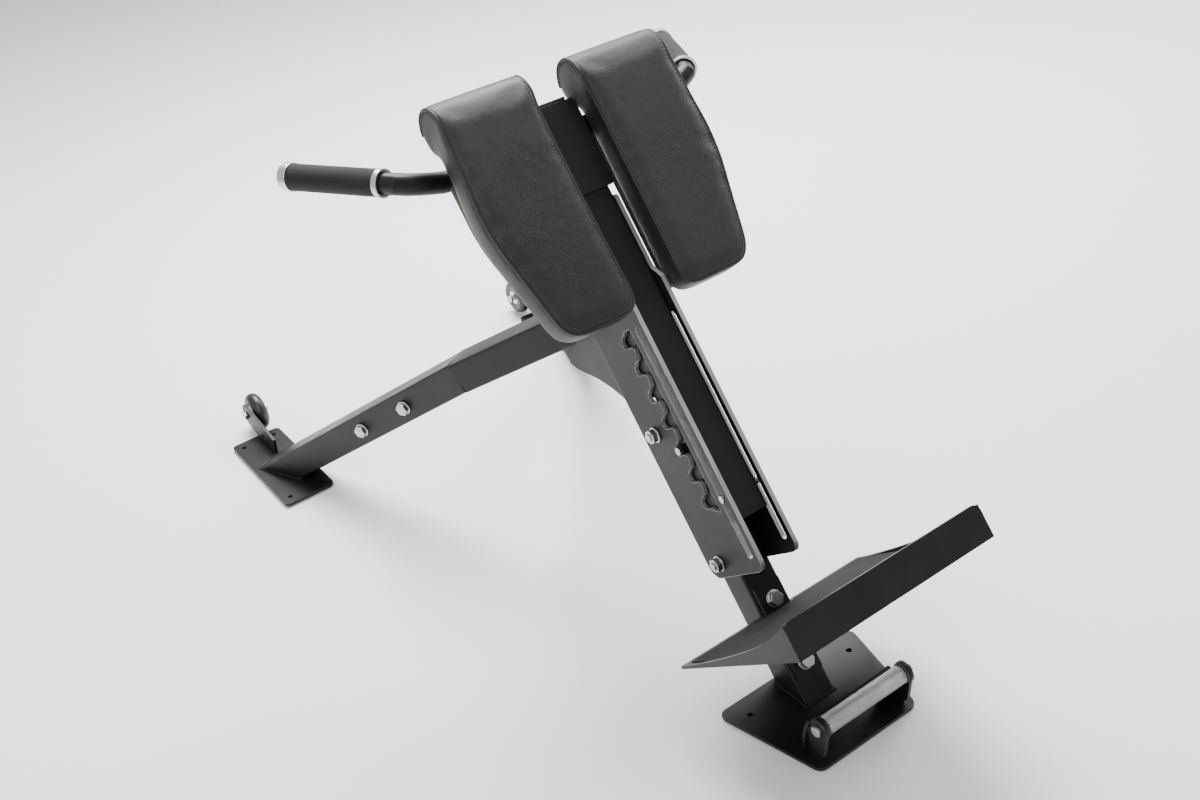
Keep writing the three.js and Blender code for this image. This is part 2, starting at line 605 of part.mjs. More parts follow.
for (const [side, word] of [[1, 'left'], [-1, 'right']]) {
  put(spine, `pad_${word}`, cushion(side), leather);
  put(spine, `pad_board_${word}`, padBoard(side), { color: 0x1a1613, roughness: 0.8, metalness: 0 });
  put(spine, `pad_bracket_${word}`, padBracket(side), steelBlack);
}

// ---- handles ----
const BAR_R = 14;
const HANDLE_AXIS = new THREE.Vector3(489, 0, -49).applyMatrix4(spine.matrixWorld); // where the bar crosses
const GRIP_START = [348, 231, 679];
const GRIP_END = [495.5, 299.4, 668];

function barPath() {
  const { x, z } = HANDLE_AXIS;
  const path = new THREE.CurvePath();
  const point = (a, side) => new THREE.Vector3(a[0], a[1] * side, a[2]);
  const elbow = [x - 4, 216, z + 16];
  const half = (side) => [
    point([x, 160, z], side), point(elbow, side), point(GRIP_START, side), point(GRIP_END, side),
  ];
  const [a, b, c, d] = half(-1);
  const [e, f, g, h] = half(1);
  path.add(new THREE.LineCurve3(d, c));
  path.add(new THREE.QuadraticBezierCurve3(c, b, a));
  path.add(new THREE.LineCurve3(a, e));
  path.add(new THREE.QuadraticBezierCurve3(e, f, g));
  path.add(new THREE.LineCurve3(g, h));
  return path;
}

function circle(radius, sides) {
  const shape = new THREE.Shape();
  for (let index = 0; index <= sides; index += 1) {
    const angle = (2 * Math.PI * index) / sides;
    if (index === 0) shape.moveTo(radius, 0);
    else shape.lineTo(radius * Math.cos(angle), radius * Math.sin(angle));
  }
  return shape;
}

const barGeometry = new THREE.ExtrudeGeometry(circle(BAR_R, 16), { steps: 48, extrudePath: barPath() });
put(object, 'handle_bar', toSolid(barGeometry), steelBlack);
for (const [side, word] of [[1, 'left'], [-1, 'right']]) {
  const a = new THREE.Vector3(GRIP_START[0], GRIP_START[1] * side, GRIP_START[2]);
  const b = new THREE.Vector3(GRIP_END[0], GRIP_END[1] * side, GRIP_END[2]);
  const along = b.clone().sub(a).normalize();
  const at = (distance) => a.clone().addScaledVector(along, distance).toArray();
  const length = a.distanceTo(b);
  const bore = rod(at(-20), at(length + 0.4), BAR_R + 0.6, 28);
  put(object, `grip_collar_${word}`, rod(at(10), at(18), 18.5, 28).subtract(bore), zinc);
  put(object, `grip_${word}`, rod(at(18.3), at(length - 5), 17.5, 32).subtract(bore), rubber);
  put(object, `grip_cap_${word}`, rod(at(length - 4.7), at(length + 8), 19, 32).subtract(bore), zinc);
}

// Stand the whole chair on its origin: middle of its footprint, at floor level.
object.updateMatrixWorld(true);
const extent = new THREE.Box3().setFromObject(object, true);
object.position.set(-(extent.min.x + extent.max.x) / 2, -(extent.min.y + extent.max.y) / 2, -extent.min.z);
object.updateMatrixWorld(true);

export default object;
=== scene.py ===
"""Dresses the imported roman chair: metal finishes, upholstered pads, welds, seams, light and camera."""

import json
import logging
import math
from dataclasses import dataclass, field
from enum import Enum
from typing import Callable, Iterable, Sequence

import bmesh
import bpy
from mathutils import Matrix, Vector
from mathutils.bvhtree import BVHTree


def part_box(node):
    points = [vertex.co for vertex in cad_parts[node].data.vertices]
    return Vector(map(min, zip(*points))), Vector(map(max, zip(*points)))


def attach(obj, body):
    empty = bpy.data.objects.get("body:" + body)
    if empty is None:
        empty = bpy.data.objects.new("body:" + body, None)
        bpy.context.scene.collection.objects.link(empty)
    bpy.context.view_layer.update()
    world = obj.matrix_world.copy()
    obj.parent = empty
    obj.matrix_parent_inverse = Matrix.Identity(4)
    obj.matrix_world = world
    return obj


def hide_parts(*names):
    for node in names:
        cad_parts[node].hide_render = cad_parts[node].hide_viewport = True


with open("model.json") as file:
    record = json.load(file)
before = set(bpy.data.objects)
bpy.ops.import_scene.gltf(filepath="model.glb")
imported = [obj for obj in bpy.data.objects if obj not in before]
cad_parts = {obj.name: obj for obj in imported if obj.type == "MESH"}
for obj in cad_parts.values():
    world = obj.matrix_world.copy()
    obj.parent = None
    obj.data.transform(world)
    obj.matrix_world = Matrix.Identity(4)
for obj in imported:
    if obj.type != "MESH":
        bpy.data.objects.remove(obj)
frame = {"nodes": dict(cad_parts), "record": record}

LOG = logging.getLogger("roman_chair")
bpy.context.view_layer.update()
Point = tuple[float, float, float]

# Surface effects: knurl turns round its axis and radians per metre along it, then amounts from 0 to 1
KNURL_TURNS = 26.0
KNURL_RUN = 2100.0
# Painted shade: pebble and knurl creases are darkened in the colour, by this share and towards this
# fraction of it
PAINTED_SHADE_MIX_IN_CREASES = 0.55
PAINTED_SHADE_DARKNESS_IN_CREASES = 0.25
WORN_POLISH = 0.15
DUST_COLOUR = (0.2, 0.19, 0.18, 1.0)
DUST_ROUGHNESS = 0.3
# Metres: points closer than this are one point
MERGE = 0.00002


class Side(Enum):
    """The user's left or right, with the sign of its Y."""

    LEFT = 1
    RIGHT = -1

    @property
    def word(self) -> str:
        """The side's name in node names."""
        return self.name.lower()


@dataclass(frozen=True)
class SpineFrame:
    """The inclined frame of the spine: u runs up it, w points out of its upper face."""

    angle: float = math.radians(52.0)
    x: float = -0.3922
    z: float = 0.303

    def matrix(self) -> Matrix:
        """The matrix from spine coordinates to the room."""
        c, s = math.cos(self.angle), math.sin(self.angle)
        return Matrix(((c, 0, -s, self.x), (0, 1, 0, 0), (s, 0, c, self.z), (0, 0, 0, 1)))


SPINE = SpineFrame().matrix()


# ---- node helpers ----


class Nodes:
    """Adds and links nodes in one tree."""

    def __init__(self, tree: bpy.types.NodeTree) -> None:
        """Keeps the tree.

        Args:
            tree: the node tree to build in.
        """
        self.tree = tree

    def add(self, kind: str, values: dict | None = None, **settings: object) -> bpy.types.Node:
        """Adds a node.

        Args:
            kind: the node's type name, without its ShaderNode prefix.
            values: input name or number to a constant or to an output socket.
            settings: the node's own properties.

        Returns:
            The new node.
        """
        node = self.tree.nodes.new(kind if kind.startswith("Node") else "ShaderNode" + kind)
        for key, value in settings.items():
            setattr(node, key, value)
        for key, value in (values or {}).items():
            if isinstance(value, bpy.types.NodeSocket):
                self.tree.links.new(value, node.inputs[key])
            else:
                node.inputs[key].default_value = value
        return node

    def math(self, operation: str, a: object, b: object = 0.0) -> bpy.types.NodeSocket:
        """Adds a maths node and returns its output.

        Args:
            operation: the maths node's operation.
            a: first number or socket.
            b: second number or socket.

        Returns:
            The result's socket.
        """
        return self.add("Math", {0: a, 1: b}, operation=operation).outputs[0]

    def ramp(self, value: object, low: float, high: float) -> bpy.types.NodeSocket:
        """Maps a value between two limits smoothly to 0 to 1.

        Args:
            value: the socket to map.
            low: the value that becomes 0.
            high: the value that becomes 1.

        Returns:
            The mapped socket.
        """
        node = self.add("MapRange", {0: value, 1: low, 2: high}, interpolation_type="SMOOTHSTEP")
        return node.outputs[0]

    def mix(self, factor: object, a: object, b: object) -> bpy.types.NodeSocket:
        """Mixes two colours.

        Args:
            factor: how much of b.
            a: first colour or socket.
            b: second colour or socket.

        Returns:
            The mixed colour's socket.
        """
        node = self.add("Mix", data_type="RGBA")
        for socket, value in ((node.inputs[0], factor), (node.inputs[6], a), (node.inputs[7], b)):
            if isinstance(value, bpy.types.NodeSocket):
                self.tree.links.new(value, socket)
            else:
                socket.default_value = value
        return node.outputs[2]


def new_group(
    name: str, inputs: dict[str, float], outputs: Sequence[str]
) -> tuple[bpy.types.NodeTree, Nodes]:
    """Makes a shader node group with float sockets.

    Args:
        name: the group's name.
        inputs: input name to default.
        outputs: output names.

    Returns:
        The group and its node helper.
    """
    tree = bpy.data.node_groups.new(name, "ShaderNodeTree")
    for key, default in inputs.items():
        socket = tree.interface.new_socket(key, in_out="INPUT", socket_type="NodeSocketFloat")
        socket.default_value = default
    for key in outputs:
        tree.interface.new_socket(key, in_out="OUTPUT", socket_type="NodeSocketFloat")
    return tree, Nodes(tree)


class Effects:
    """The shared surface effects, built once as node groups."""

    def __init__(self) -> None:
        """Builds every group."""
        self.grain = self._grain()
        self.wear = self._wear()
        self.dust = self._dust()
        self.pebble = self._pebble()

    @staticmethod
    def _grain() -> bpy.types.NodeTree:
        """Fine grain with slow mottling."""
        tree, n = new_group("surface_grain", {"Fine": 900.0, "Slow": 14.0}, ("Height", "Mottle"))
        given = n.add("NodeGroupInput")
        place = n.add("TexCoord").outputs["Object"]
        fine = n.add("TexNoise", {"Vector": place, "Scale": given.outputs["Fine"], "Detail": 3.0})
        slow = n.add("TexNoise", {"Vector": place, "Scale": given.outputs["Slow"], "Detail": 4.0})
        n.add("NodeGroupOutput", {"Height": fine.outputs[0], "Mottle": n.ramp(slow.outputs[0], 0.3, 0.7)})
        return tree

    @staticmethod
    def _wear() -> bpy.types.NodeTree:
        """A mask of rubbed edges, broken up by noise."""
        inputs = {"Radius": 0.0015, "Low": 0.02, "High": 0.2, "Breakup": 60.0}
        tree, n = new_group("edge_wear", inputs, ("Mask",))
        given = n.add("NodeGroupInput")
        soft = n.add("Bevel", {"Radius": given.outputs["Radius"]}, samples=4).outputs[0]
        hard = n.add("NewGeometry").outputs["Normal"]
        dot = n.add("VectorMath", {0: soft, 1: hard}, operation="DOT_PRODUCT").outputs["Value"]
        edge = n.math("SUBTRACT", 1.0, dot)
        place = n.add("TexCoord").outputs["Object"]
        spots = n.add("TexNoise", {"Vector": place, "Scale": given.outputs["Breakup"], "Detail": 5.0})
        noise = spots.outputs[0]
        broken = n.math("MULTIPLY", edge, n.ramp(noise, 0.25, 0.75))
        mask = n.add("MapRange", {0: broken, 1: given.outputs["Low"], 2: given.outputs["High"]}).outputs[0]
        n.add("NodeGroupOutput", {"Mask": mask})
        return tree

    @staticmethod
    def _dust() -> bpy.types.NodeTree:
        """A thin film of dust on what faces up."""
        tree, n = new_group("dust_film", {"Amount": 0.15, "Scale": 30.0}, ("Mask",))
        given = n.add("NodeGroupInput")
        up = n.add("SeparateXYZ", {0: n.add("NewGeometry").outputs["Normal"]}).outputs[2]
        place = n.add("TexCoord").outputs["Object"]
        spots = n.add("TexNoise", {"Vector": place, "Scale": given.outputs["Scale"], "Detail": 6.0})
        noise = spots.outputs[0]
        film = n.math("MULTIPLY", n.ramp(up, 0.3, 1.0), n.ramp(noise, 0.35, 0.8))
        n.add("NodeGroupOutput", {"Mask": n.math("MULTIPLY", film, given.outputs["Amount"])})
        return tree

    @staticmethod
    def _pebble() -> bpy.types.NodeTree:
        """Leather-like pebbles with creases between them."""
        tree, n = new_group("pebble_grain", {"Scale": 420.0, "Crease": 0.12}, ("Height", "Tone"))
        given = n.add("NodeGroupInput")
        place = n.add("TexCoord").outputs["Object"]
        warp = n.add("TexNoise", {"Vector": place, "Scale": 90.0, "Detail": 2.0}).outputs["Color"]
        shift = n.add("VectorMath", {0: warp, 1: (0.006, 0.006, 0.006)}, operation="MULTIPLY").outputs[0]
        bent = n.add("VectorMath", {0: place, 1: shift}, operation="ADD").outputs[0]
        size = {"Vector": bent, "Scale": given.outputs["Scale"]}
        cells = n.add("TexVoronoi", size, feature="DISTANCE_TO_EDGE")
        height = n.add("MapRange", {0: cells.outputs[0], 1: 0.0, 2: given.outputs["Crease"]}).outputs[0]
        slow = n.add("TexNoise", {"Vector": place, "Scale": 7.0, "Detail": 4.0}).outputs[0]
        n.add("NodeGroupOutput", {"Height": height, "Tone": n.ramp(slow, 0.3, 0.7)})
        return tree


class Texture(Enum):
    """Which relief a finish carries."""

    GRAIN = "grain"
    PEBBLE = "pebble"
    KNURL = "knurl"
    BRUSHED = "brushed"
    PLIES = "plies"


@dataclass(frozen=True)
class Finish:
    """One surface finish and how it shows its age.

    Colours are linear; scales are per metre; depths are metres.
    """

    name: str
    colour: Point
    shade: Point
    roughness: float = 0.5
    spread: float = 0.1
    metallic: float = 0.0
    texture: Texture = Texture.GRAIN
    fine: float = 900.0
    depth: float = 0.0001
    wear: float = 0.0
    wear_colour: Point = (0.1, 0.1, 0.1)
    bare_metal: bool = False
    wear_radius: float = 0.0015
    dust: float = 0.1
    sheen: float = 0.0
    strength: float = 0.4
    specular: float = 0.5
    cut_edges: bool = False
    axis_x: float = 0.0
    axis_z: float = 0.0

    def relief(self, n: Nodes, effects: Effects) -> tuple[bpy.types.NodeSocket, bpy.types.NodeSocket]:
        """Builds the finish's height and its slow variation.

        Args:
            n: the material's node helper.
            effects: the shared groups.

        Returns:
            The height socket and the variation socket.
        """
        if self.texture is Texture.PEBBLE:
            node = n.add("Group", node_tree=effects.pebble)
            node.inputs["Scale"].default_value = self.fine
            return node.outputs["Height"], node.outputs["Tone"]
        grain = n.add("Group", node_tree=effects.grain)
        grain.inputs["Fine"].default_value = self.fine
        place = n.add("TexCoord").outputs["Object"]
        if self.texture is Texture.KNURL:
            parts = n.add("SeparateXYZ", {0: place})
            dx = n.math("SUBTRACT", parts.outputs[0], self.axis_x)
            dz = n.math("SUBTRACT", parts.outputs[2], self.axis_z)
            turn = n.math("MULTIPLY", n.math("ARCTAN2", dz, dx), KNURL_TURNS)
            run = n.math("MULTIPLY", parts.outputs[1], KNURL_RUN)
            one = n.math("ABSOLUTE", n.math("SINE", n.math("ADD", turn, run)))
            two = n.math("ABSOLUTE", n.math("SINE", n.math("SUBTRACT", turn, run)))
            return n.math("MULTIPLY", one, two), grain.outputs["Mottle"]
        if self.texture is Texture.BRUSHED:
            stretch = n.add("Mapping", {"Vector": place, "Scale": (1.0, 40.0, 1.0)}).outputs[0]
            lines = n.add("TexNoise", {"Vector": stretch, "Scale": 120.0, "Detail": 3.0}).outputs[0]
            return lines, grain.outputs["Mottle"]
        if self.texture is Texture.PLIES:
            lean = (0.0, math.radians(38.0), 0.0)
            turned = n.add("Mapping", {"Vector": place, "Rotation": lean}).outputs[0]
            bands = {"Vector": turned, "Scale": 180.0, "Distortion": 1.5}
            plies = n.add("TexWave", bands, bands_direction="Z")
            return grain.outputs["Height"], plies.outputs["Fac"]
        return grain.outputs["Height"], grain.outputs["Mottle"]

    def material(self, effects: Effects) -> bpy.types.Material:
        """Builds the finish as a material.

        Args:
            effects: the shared groups.

        Returns:
            The new material.
        """
        made = bpy.data.materials.new(self.name)
        made.use_nodes = True
        made.diffuse_color = (*self.colour, 1.0)
        n = Nodes(made.node_tree)
        shader = made.node_tree.nodes["Principled BSDF"]
        link = made.node_tree.links.new
        height, tone = self.relief(n, effects)
        colour = n.mix(tone, (*self.colour, 1.0), (*self.shade, 1.0))
        rough = n.math("ADD", self.roughness - self.spread / 2, n.math("MULTIPLY", tone, self.spread))
        # Painted shade: the low parts of the pebble and knurl relief are darkened in the colour
        if self.texture in (Texture.PEBBLE, Texture.KNURL):
            painted_crease_shade = n.math("MULTIPLY", n.math("SUBTRACT", 1.0, height), PAINTED_SHADE_MIX_IN_CREASES)
            colour = n.mix(painted_crease_shade, colour, (*(value * PAINTED_SHADE_DARKNESS_IN_CREASES for value in self.colour), 1.0))
        if self.wear > 0:
            worn = n.add("Group", node_tree=effects.wear)
            worn.inputs["Radius"].default_value = self.wear_radius
            mask = n.math("MULTIPLY", worn.outputs["Mask"], self.wear)
            mask = n.math("MINIMUM", mask, 1.0)
            colour = n.mix(mask, colour, (*self.wear_colour, 1.0))
            rough = n.math("SUBTRACT", rough, n.math("MULTIPLY", mask, WORN_POLISH))
            bare = n.math("ADD", n.math("MULTIPLY", mask, 1.0 - self.metallic), self.metallic)
        if self.cut_edges:
            normal = n.add("SeparateXYZ", {0: n.add("NewGeometry").outputs["Normal"]}).outputs[1]
            cut = n.ramp(n.math("ABSOLUTE", normal), 0.75, 0.35)
            cut = n.math("MULTIPLY", cut, n.math("ADD", n.math("MULTIPLY", tone, 0.35), 0.6))
            colour = n.mix(cut, colour, (*self.wear_colour, 1.0))
            bare = n.math("MAXIMUM", bare, cut)
        if self.dust > 0:
            film = n.add("Group", node_tree=effects.dust)
            film.inputs["Amount"].default_value = self.dust
            colour = n.mix(film.outputs["Mask"], colour, DUST_COLOUR)
            rough = n.math("ADD", rough, n.math("MULTIPLY", film.outputs["Mask"], DUST_ROUGHNESS))
        link(colour, shader.inputs["Base Color"])
        link(rough, shader.inputs["Roughness"])
        if self.wear > 0 and self.bare_metal:
            link(bare, shader.inputs["Metallic"])
        else:
            shader.inputs["Metallic"].default_value = self.metallic
        shader.inputs["Specular IOR Level"].default_value = self.specular
        shader.inputs["Sheen Weight"].default_value = self.sheen
        bump = n.add("Bump", {"Strength": self.strength, "Distance": self.depth, "Height": height})
        link(bump.outputs[0], shader.inputs["Normal"])
        return made


BLACK = (0.0035, 0.0035, 0.0037)
SOFT_BLACK = (0.006, 0.006, 0.0064)
FINISHES: dict[str, Finish] = {
    "frame_black": Finish(
        "powder_coat_black", BLACK, SOFT_BLACK, roughness=0.42, fine=1400.0, depth=0.00025, wear=0.5,
        wear_colour=(0.05, 0.05, 0.052), dust=0.02, strength=0.5, specular=0.3),
    "plate_grey": Finish(
        "plate_semi_gloss", (0.0085, 0.0087, 0.009), (0.013, 0.0133, 0.0138), roughness=0.45, metallic=0.12,
        fine=700.0, depth=0.00012, wear=3.0, wear_colour=(0.55, 0.55, 0.54), bare_metal=True,
        wear_radius=0.0012, dust=0.03, strength=0.3, specular=0.25, cut_edges=True),
    "zinc": Finish(
        "zinc_plate", (0.6, 0.6, 0.57), (0.42, 0.42, 0.4), roughness=0.3, metallic=1.0,
        texture=Texture.BRUSHED, depth=0.00008, wear=0.6, wear_colour=(0.8, 0.8, 0.78), dust=0.0),
    "pin_steel": Finish(
        "ground_pin_steel", (0.5, 0.5, 0.5), (0.36, 0.36, 0.37), roughness=0.25, metallic=1.0,
        texture=Texture.BRUSHED, depth=0.00005, dust=0.0),
    "knurled_steel": Finish(
        "knurled_stainless", (0.66, 0.66, 0.65), (0.5, 0.5, 0.5), roughness=0.28, metallic=1.0,
        texture=Texture.KNURL, depth=0.0007, dust=0.0, strength=0.9, axis_x=-0.6062, axis_z=0.064),
    "silver_cap": Finish(
        "satin_aluminium", (0.68, 0.68, 0.69), (0.56, 0.56, 0.57), roughness=0.3, metallic=1.0,
        texture=Texture.BRUSHED, depth=0.00005, wear=0.5, wear_colour=(0.85, 0.85, 0.86), dust=0.0),
    "bearing": Finish(
        "bearing_chrome", (0.6, 0.6, 0.62), (0.5, 0.5, 0.52), roughness=0.14, spread=0.05, metallic=1.0,
        texture=Texture.BRUSHED, depth=0.00003, dust=0.0),
    "rubber_black": Finish(
        "foot_rubber", (0.012, 0.012, 0.012), (0.02, 0.02, 0.02), roughness=0.8, fine=800.0,
        depth=0.0003, dust=0.15),
    "wheel_black": Finish(
        "wheel_polymer", (0.01, 0.01, 0.01), (0.018, 0.018, 0.018), roughness=0.38, fine=500.0,
        depth=0.0001, wear=0.4, wear_colour=(0.05, 0.05, 0.05), dust=0.05),
    "foam_grip": Finish(
        "foam_grip_skin", (0.006, 0.006, 0.0063), (0.011, 0.011, 0.0115), roughness=0.85, fine=1500.0,
        depth=0.0006, dust=0.02, sheen=0.08, strength=0.8, specular=0.3),
    "pad_leather": Finish(
        "pad_vinyl", (0.0065, 0.0065, 0.007), (0.0095, 0.0095, 0.0102), roughness=0.44, spread=0.1,
        texture=Texture.PEBBLE, fine=520.0, depth=0.0003, dust=0.02, sheen=0.02, strength=0.45,
        specular=0.42),
    "pad_board": Finish(
        "pad_plywood", (0.06, 0.04, 0.024), (0.03, 0.02, 0.013), roughness=0.75,
        texture=Texture.PLIES, fine=300.0, depth=0.0002, dust=0.1),
    "tread": Finish(
        "grit_sheet", (0.004, 0.004, 0.004), (0.008, 0.008, 0.008), roughness=0.85, fine=650.0,
        depth=0.0015, dust=0.05, strength=1.0, specular=0.3),
    "plug": Finish(
        "moulded_black", (0.012, 0.012, 0.012), (0.018, 0.018, 0.018), roughness=0.5, fine=400.0,
        depth=0.0001, dust=0.05),
}


class Palette:
    """Builds each finish's material once and hands it out."""

    def __init__(self) -> None:
        """Builds the shared effects first."""
        self.effects = Effects()
        self.made = {slot: finish.material(self.effects) for slot, finish in FINISHES.items()}

    def dress(self, obj: bpy.types.Object, slot: str) -> None:
        """Gives an object one finish.

        Args:
            obj: the object.
            slot: the record's material slot.
        """
        obj.data.materials.clear()
        obj.data.materials.append(self.made[slot])


# ---- mesh helpers ----


def mesh_object(name: str, mesh: bmesh.types.BMesh, smooth: bool = True) -> bpy.types.Object:
    """Turns a bmesh into a linked object.

    Args:
        name: the object's name.
        mesh: the bmesh, which is freed.
        smooth: whether its faces shade smoothly.

    Returns:
        The new object.
    """
    data = bpy.data.meshes.new(name)
    bmesh.ops.recalc_face_normals(mesh, faces=mesh.faces)
    mesh.to_mesh(data)
    mesh.free()
    for face in data.polygons:
        face.use_smooth = smooth
    obj = bpy.data.objects.new(name, data)
    bpy.context.scene.collection.objects.link(obj)
    return obj


def sweep(mesh: bmesh.types.BMesh, path: Sequence[Vector], radius: Callable[[int], float],
          closed: bool = False, sides: int = 10) -> None:
    """Sweeps a round section along a path.

    Args:
        mesh: the bmesh to add to.
        path: the path's points.
        radius: the section's radius at each point.
        closed: whether the path joins up.
        sides: sides of the section.
    """
    count = len(path)
    rings = []
    side = None
    for index, point in enumerate(path):
        before = path[(index - 1) % count] if closed or index else path[0]
        after = path[(index + 1) % count] if closed or index < count - 1 else path[-1]
        along = (after - before).normalized()
        if side is None:
            side = along.orthogonal().normalized()
        side = (side - along * side.dot(along)).normalized()
        other = along.cross(side)
        ring = []
        for step in range(sides):
            turn = 2 * math.pi * step / sides
            offset = (side * math.cos(turn) + other * math.sin(turn)) * radius(index)
            ring.append(mesh.verts.new(point + offset))
        rings.append(ring)
    spans = count if closed else count - 1
    for index in range(spans):
        one, two = rings[index], rings[(index + 1) % count]
        for step in range(sides):
            mesh.faces.new((one[step], one[(step + 1) % sides], two[(step + 1) % sides], two[step]))
    if not closed:
        mesh.faces.new(rings[0])
        mesh.faces.new(rings[-1])


def resample(path: Sequence[Vector], gap: float, closed: bool = False) -> list[Vector]:
    """Spaces points evenly along a path.

    Args:
        path: the path's points.
        gap: distance between the new points.
        closed: whether the path joins up.

    Returns:
        The new points.
    """
    points = list(path) + ([path[0]] if closed else [])
    out = [points[0].copy()]
    left = gap
    for a, b in zip(points, points[1:]):
        length = (b - a).length
        done = 0.0
        while length - done >= left and length > 0:
            done += left
            out.append(a.lerp(b, done / length))
            left = gap
        left -= length - done
    return out


# ---- sub-assemblies ----


@dataclass
class MetalWork:
    """The CAD's own metal, rubber and plastic nodes, with softened edges and their finishes."""

    edge: float = 0.0007
    edge_limit: float = math.radians(32.0)
    thin: float = 0.004
    thin_share: float = 0.4
    skip: tuple[str, ...] = ("pad_left", "pad_right")

    def dress(self, palette: Palette) -> None:
        """Softens and finishes each node.

        Args:
            palette: the finishes.
        """
        slots = {part["node"]: part["material_slot"] for part in frame["record"]["subparts"]}
        for name, obj in frame["nodes"].items():
            if name in self.skip:
                continue
            for face in obj.data.polygons:
                face.use_smooth = True
            weld = obj.modifiers.new("weld", "WELD")
            weld.merge_threshold = MERGE
            small = min(obj.dimensions) < self.thin
            bevel = obj.modifiers.new("edge", "BEVEL")
            bevel.width = self.edge * (self.thin_share if small else 1.0)
            bevel.segments = 2
            bevel.limit_method = "ANGLE"
            bevel.angle_limit = self.edge_limit
            bevel.harden_normals = True
            normals = obj.modifiers.new("normals", "WEIGHTED_NORMAL")
            normals.keep_sharp = True
            palette.dress(obj, slots[name])
            LOG.info("finished %s as %s", name, slots[name])


